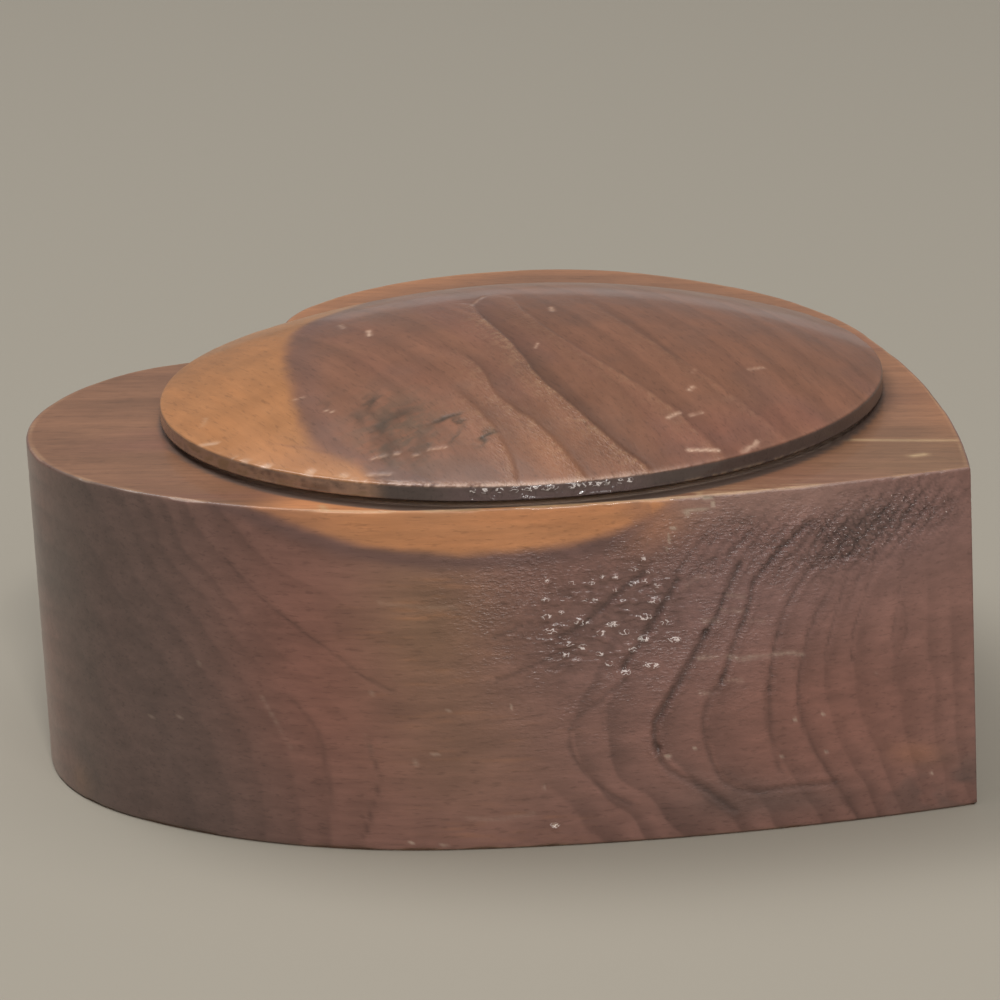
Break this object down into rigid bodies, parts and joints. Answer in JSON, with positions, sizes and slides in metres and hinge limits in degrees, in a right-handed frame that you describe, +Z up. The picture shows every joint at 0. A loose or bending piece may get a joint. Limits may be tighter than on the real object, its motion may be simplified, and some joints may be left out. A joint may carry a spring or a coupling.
{
  "type": "heart trinket box",
  "caption": "Heart-shaped block of two-tone varnished wood with a round turned cavity, closed by a round, shallow-domed lid that lifts off.",
  "frame": {"origin": "under the middle of the block's bounding box, on its underside", "axes": "+Z up through the lid; the point of the heart looks along -Y, the notch between its lobes along +Y; X runs across the heart"},
  "size_m": [0.1272, 0.1342, 0.0604],
  "materials": {
    "heart_body": "glossy old varnish, crackled on one side, over reddish-brown heartwood with a streak of orange sapwood",
    "domed_lid": "glossy old varnish, scratched and worn at the rim, over reddish-brown heartwood with orange sapwood at one side"
  },
  "bodies": {
    "root": {"heart_body": "heart_body", "domed_lid": "domed_lid"}
  },
  "joints": []
}
